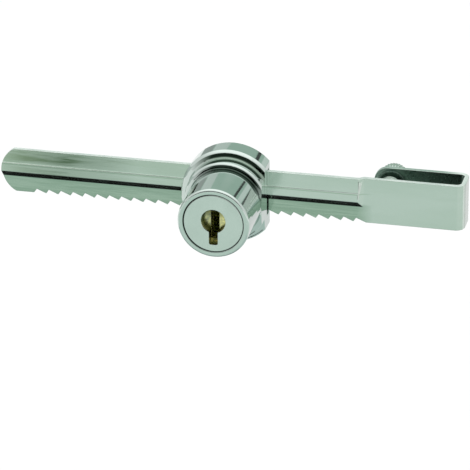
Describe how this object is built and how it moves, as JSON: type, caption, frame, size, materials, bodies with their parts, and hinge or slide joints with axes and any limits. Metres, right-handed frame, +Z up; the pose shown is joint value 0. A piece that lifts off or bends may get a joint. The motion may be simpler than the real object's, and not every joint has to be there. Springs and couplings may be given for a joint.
{
  "type": "ratchet lock for sliding glass doors",
  "caption": "Glass door lock: a toothed bar hooks round the inner pane's edge, and a keyed lock body slides along it, ratchets on the teeth and stops the outer pane.",
  "frame": {"origin": "on the key barrel's axis, in the flat rear face of the lock body, which is the plane of the inner pane's front", "axes": "+X along the bar towards its hook, +Y from the key side to the glass, +Z up, with the teeth pointing down"},
  "size_m": [0.1494, 0.0416, 0.0312],
  "materials": {
    "plated_steel": "bright nickel plate",
    "bright_chrome": "polished chrome plate",
    "cover_steel": "zinc-plated steel",
    "hard_steel": "ground hardened steel",
    "spring_steel": "drawn spring wire",
    "brass": "machined brass",
    "soft_pad": "matt soft plastic"
  },
  "bodies": {
    "bar": {"ratchet_bar": "plated_steel", "clamp_bush": "plated_steel"},
    "pad": {"pressure_pad": "plated_steel", "pad_cushion": "soft_pad"},
    "screw": {"clamp_screw": "plated_steel"},
    "lock": {"lock_body": "bright_chrome", "rear_cover": "cover_steel", "cover_screws": "cover_steel", "pawl_spring": "spring_steel"},
    "plug": {"plug": "brass", "plug_cap": "bright_chrome", "plug_clip": "spring_steel", "cam": "hard_steel", "cam_screw": "cover_steel", "wafer_spring_1": "spring_steel", "wafer_spring_2": "spring_steel", "wafer_spring_3": "spring_steel", "wafer_spring_4": "spring_steel", "wafer_spring_5": "spring_steel"},
    "pawl": {"pawl": "hard_steel"},
    "wafer_1": {"wafer_1": "brass"},
    "wafer_2": {"wafer_2": "brass"},
    "wafer_3": {"wafer_3": "brass"},
    "wafer_4": {"wafer_4": "brass"},
    "wafer_5": {"wafer_5": "brass"}
  },
  "joints": [
    {"name": "body_slide", "type": "slide", "parent": "bar", "child": "lock", "axis": [1, 0, 0], "range_m": [-0.056, 0.04]},
    {"name": "plug_turn", "type": "hinge", "parent": "lock", "child": "plug", "pos_m": [0, -0.015, 0], "axis": [0, 1, 0], "range_deg": [0, 90]},
    {"name": "pawl_slide", "type": "slide", "parent": "lock", "child": "pawl", "axis": [0, 0, -1], "range_m": [0, 0.002], "deforming": ["pawl_spring"]},
    {"name": "pad_slide", "type": "slide", "parent": "bar", "child": "pad", "axis": [0, -1, 0], "range_m": [0, 0.0016]},
    {"name": "screw_turn", "type": "hinge", "parent": "pad", "child": "screw", "pos_m": [0.0492, 0.008, 0.00315], "axis": [0, -1, 0], "range_deg": [0, 823]},
    {"name": "wafer_1_slide", "type": "slide", "parent": "plug", "child": "wafer_1", "axis": [0, 0, -1], "range_m": [0, 0.0009], "stiffness_N_per_m": 30, "deforming": ["wafer_spring_1"]},
    {"name": "wafer_2_slide", "type": "slide", "parent": "plug", "child": "wafer_2", "axis": [0, 0, -1], "range_m": [0, 0.0009], "stiffness_N_per_m": 30, "deforming": ["wafer_spring_2"]},
    {"name": "wafer_3_slide", "type": "slide", "parent": "plug", "child": "wafer_3", "axis": [0, 0, -1], "range_m": [0, 0.0009], "stiffness_N_per_m": 30, "deforming": ["wafer_spring_3"]},
    {"name": "wafer_4_slide", "type": "slide", "parent": "plug", "child": "wafer_4", "axis": [0, 0, -1], "range_m": [0, 0.0009], "stiffness_N_per_m": 30, "deforming": ["wafer_spring_4"]},
    {"name": "wafer_5_slide", "type": "slide", "parent": "plug", "child": "wafer_5", "axis": [0, 0, -1], "range_m": [0, 0.0009], "stiffness_N_per_m": 30, "deforming": ["wafer_spring_5"]}
  ],
  "couplings": [
    {"joint": "pawl_slide", "follows": "plug_turn", "m_per_rad": 0.0012732},
    {"joint": "screw_turn", "follows": "pad_slide", "rad_per_m": 8976}
  ]
}
